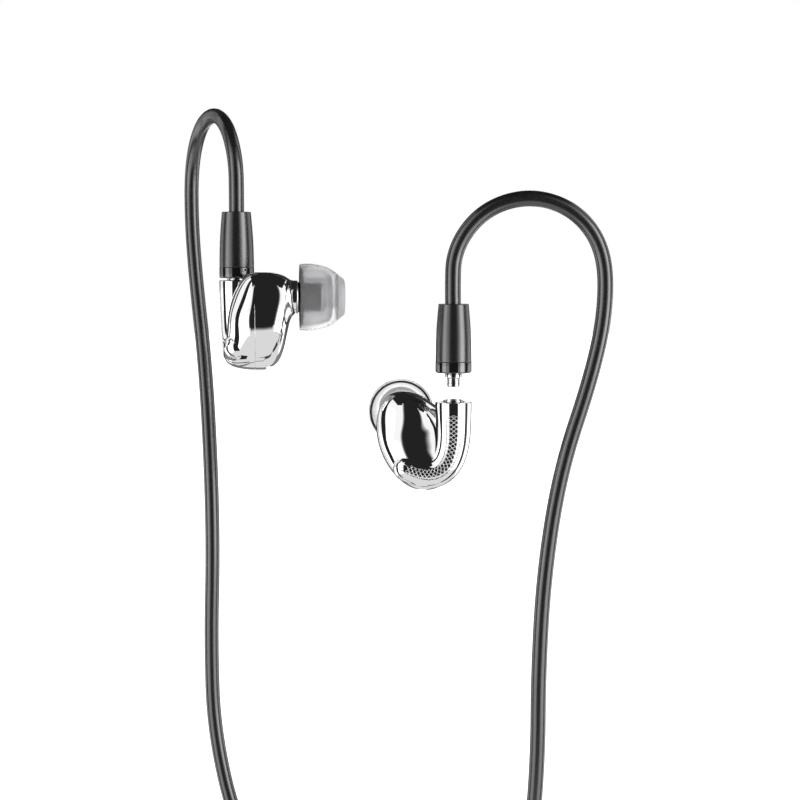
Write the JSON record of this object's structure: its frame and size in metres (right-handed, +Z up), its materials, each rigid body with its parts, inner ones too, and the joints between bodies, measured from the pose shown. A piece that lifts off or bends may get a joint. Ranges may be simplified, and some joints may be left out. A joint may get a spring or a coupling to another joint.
{
  "type": "in ear monitors",
  "caption": "Pair of over-ear in ear monitors: curved two-shell metal earpieces with domed silicone tips, turning coaxial plugs, preformed ear hook cords and a coiled cable with a jack plug.",
  "frame": {"origin": "midway between the tops of the two ear hooks, where the pair is held over the ears", "axes": "+Z up along the connectors, +X towards the wearer's left earpiece, +Y from that earpiece's faceplate to its nozzle"},
  "size_m": [0.082, 0.044, 0.2297],
  "materials": {
    "polished_shell": "mirror polished",
    "grille_mesh": "polished woven wire",
    "nozzle_metal": "polished",
    "fine_mesh": "woven",
    "foam": "open-cell foam",
    "silicone": "translucent satin",
    "contact_metal": "polished nickel plate",
    "insulator": "satin",
    "gold_contact": "polished plate",
    "driver_steel": "machined",
    "magnet": "nickel plated magnet",
    "copper": "enamelled copper",
    "diaphragm_film": "thin film",
    "gloss_collar": "gloss black",
    "satin_barrel": "satin black",
    "cord_jacket": "satin jacket",
    "tie_fabric": "hook and loop tape"
  },
  "bodies": {
    "cable": {"left_plug_collar": "gloss_collar", "left_plug_barrel": "satin_barrel", "left_plug_shell": "contact_metal", "left_plug_insulator": "insulator", "left_plug_pin": "gold_contact", "left_ear_cord": "cord_jacket", "right_plug_collar": "gloss_collar", "right_plug_barrel": "satin_barrel", "right_plug_shell": "contact_metal", "right_plug_insulator": "insulator", "right_plug_pin": "gold_contact", "right_ear_cord": "cord_jacket", "coiled_cable": "cord_jacket", "main_lead": "cord_jacket", "cable_tie": "tie_fabric", "y_splitter": "satin_barrel", "jack_strain_relief": "cord_jacket", "jack_housing": "satin_barrel", "jack_sleeve": "contact_metal", "jack_ring_contact": "contact_metal", "jack_tip": "contact_metal", "jack_insulator": "insulator"},
    "left_snap_ring": {"left_snap_ring": "contact_metal"},
    "left_earpiece": {"left_front_shell": "polished_shell", "left_rear_shell": "polished_shell", "left_acoustic_grille": "grille_mesh", "left_nozzle": "nozzle_metal", "left_nozzle_screen": "fine_mesh", "left_nozzle_damper": "foam", "left_socket_body": "contact_metal", "left_socket_insulator": "insulator", "left_socket_contact": "gold_contact", "left_driver_frame": "driver_steel", "left_driver_magnet": "magnet", "left_driver_top_plate": "driver_steel", "left_voice_coil": "copper", "left_diaphragm": "diaphragm_film", "left_driver_wires": "copper"},
    "left_tip": {"left_ear_tip": "silicone"},
    "right_snap_ring": {"right_snap_ring": "contact_metal"},
    "right_earpiece": {"right_front_shell": "polished_shell", "right_rear_shell": "polished_shell", "right_acoustic_grille": "grille_mesh", "right_nozzle": "nozzle_metal", "right_nozzle_screen": "fine_mesh", "right_nozzle_damper": "foam", "right_socket_body": "contact_metal", "right_socket_insulator": "insulator", "right_socket_contact": "gold_contact", "right_driver_frame": "driver_steel", "right_driver_magnet": "magnet", "right_driver_top_plate": "driver_steel", "right_voice_coil": "copper", "right_diaphragm": "diaphragm_film", "right_driver_wires": "copper"},
    "right_tip": {"right_ear_tip": "silicone"},
    "slider": {"chin_slider": "satin_barrel"}
  },
  "joints": [
    {"name": "left_plug_swivel", "type": "hinge", "parent": "cable", "child": "left_snap_ring", "pos_m": [0.0165, -0.013, -0.0443], "axis": [0, 0, 1], "range_deg": [-90, 180]},
    {"name": "left_plug_slide", "type": "slide", "parent": "left_snap_ring", "child": "left_earpiece", "axis": [0, 0, 1], "range_m": [0, 0.00475]},
    {"name": "left_tip_pull", "type": "slide", "parent": "left_earpiece", "child": "left_tip", "axis": [0, 1, 0], "range_m": [0, 0.008]},
    {"name": "right_plug_swivel", "type": "hinge", "parent": "cable", "child": "right_snap_ring", "pos_m": [-0.0233, 0.002, -0.023], "axis": [0, 0, 1], "range_deg": [-180, 90]},
    {"name": "right_plug_slide", "type": "slide", "parent": "right_snap_ring", "child": "right_earpiece", "axis": [0, 0, -1], "range_m": [0, 0.00475]},
    {"name": "right_tip_pull", "type": "slide", "parent": "right_earpiece", "child": "right_tip", "axis": [0.9962, 0.0872, 0], "range_m": [0, 0.008]},
    {"name": "chin_slider_slide", "type": "slide", "parent": "cable", "child": "slider", "axis": [0, 0, 1], "range_m": [0, 0.005]}
  ]
}
